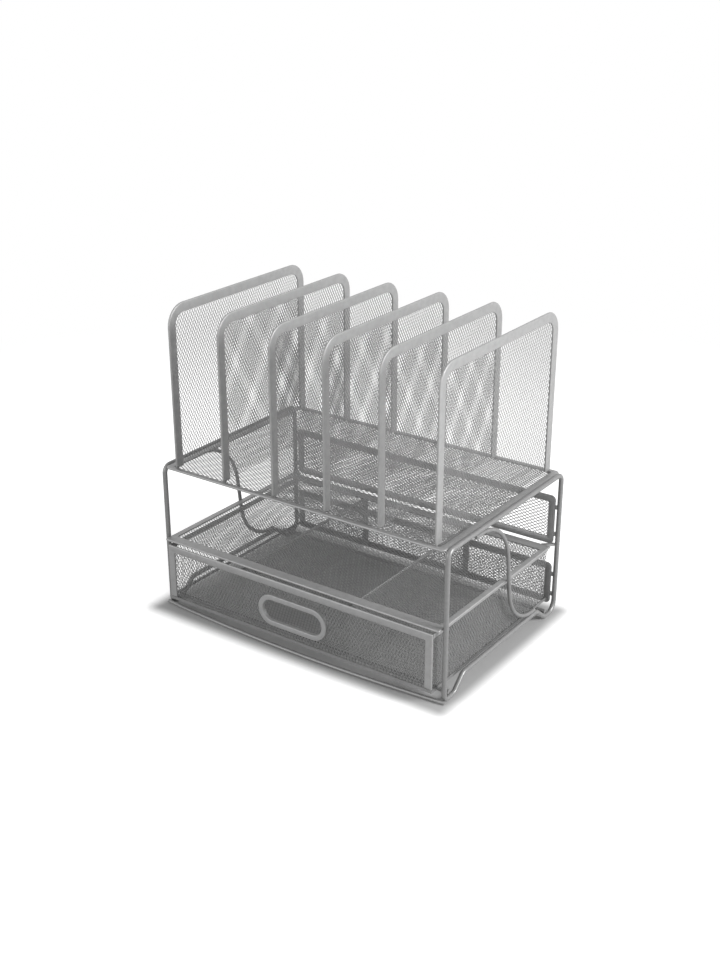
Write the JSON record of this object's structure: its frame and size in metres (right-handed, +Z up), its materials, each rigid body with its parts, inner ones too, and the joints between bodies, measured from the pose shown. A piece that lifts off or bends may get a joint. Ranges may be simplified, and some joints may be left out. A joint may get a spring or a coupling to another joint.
{
  "type": "envelope sorter with drawer",
  "caption": "Desk sorter of painted wire and metal mesh: upright sections over an open tray over a sliding drawer with a slot handle.",
  "frame": {"origin": "on the floor, midway between the outermost points in X and in Y", "axes": "+Z up, +X to the right seen from the front, the drawer opens towards -Y"},
  "size_m": [0.3454, 0.2318, 0.3272],
  "materials": {
    "wire_paint": "silver-grey paint, baked on bent steel wire, satin",
    "strip_paint": "silver-grey paint, baked on folded steel strip, satin",
    "mesh_paint": "silver-grey paint, baked on expanded steel mesh, satin"
  },
  "bodies": {
    "frame": {"back_lugs": "strip_paint", "divider_border_1": "strip_paint", "divider_border_2": "strip_paint", "divider_border_3": "strip_paint", "divider_border_4": "strip_paint", "divider_border_5": "strip_paint", "divider_border_6": "strip_paint", "divider_mesh_1": "mesh_paint", "divider_mesh_2": "mesh_paint", "divider_mesh_3": "mesh_paint", "divider_mesh_4": "mesh_paint", "divider_mesh_5": "mesh_paint", "divider_mesh_6": "mesh_paint", "drawer_runner_front": "wire_paint", "drawer_runner_rear": "wire_paint", "front_base_bar": "wire_paint", "lower_back_border": "strip_paint", "lower_back_mesh": "mesh_paint", "shelf_border": "strip_paint", "shelf_mesh": "mesh_paint", "side_brace_left": "wire_paint", "side_brace_right": "wire_paint", "side_frame_left": "wire_paint", "side_frame_right": "wire_paint", "tray_border": "strip_paint", "tray_lugs": "strip_paint", "tray_mesh": "mesh_paint", "upper_back_border": "strip_paint", "upper_back_mesh": "mesh_paint"},
    "drawer": {"drawer_back_mesh": "mesh_paint", "drawer_back_rim": "strip_paint", "drawer_floor_mesh": "mesh_paint", "drawer_front_border": "strip_paint", "drawer_front_mesh": "mesh_paint", "drawer_handle": "strip_paint", "drawer_hem": "strip_paint", "drawer_side_left_mesh": "mesh_paint", "drawer_side_left_rim": "strip_paint", "drawer_side_right_mesh": "mesh_paint", "drawer_side_right_rim": "strip_paint"}
  },
  "joints": [
    {"name": "drawer_slide", "type": "slide", "parent": "frame", "child": "drawer", "axis": [0, -1, 0], "range_m": [0, 0.18]}
  ]
}
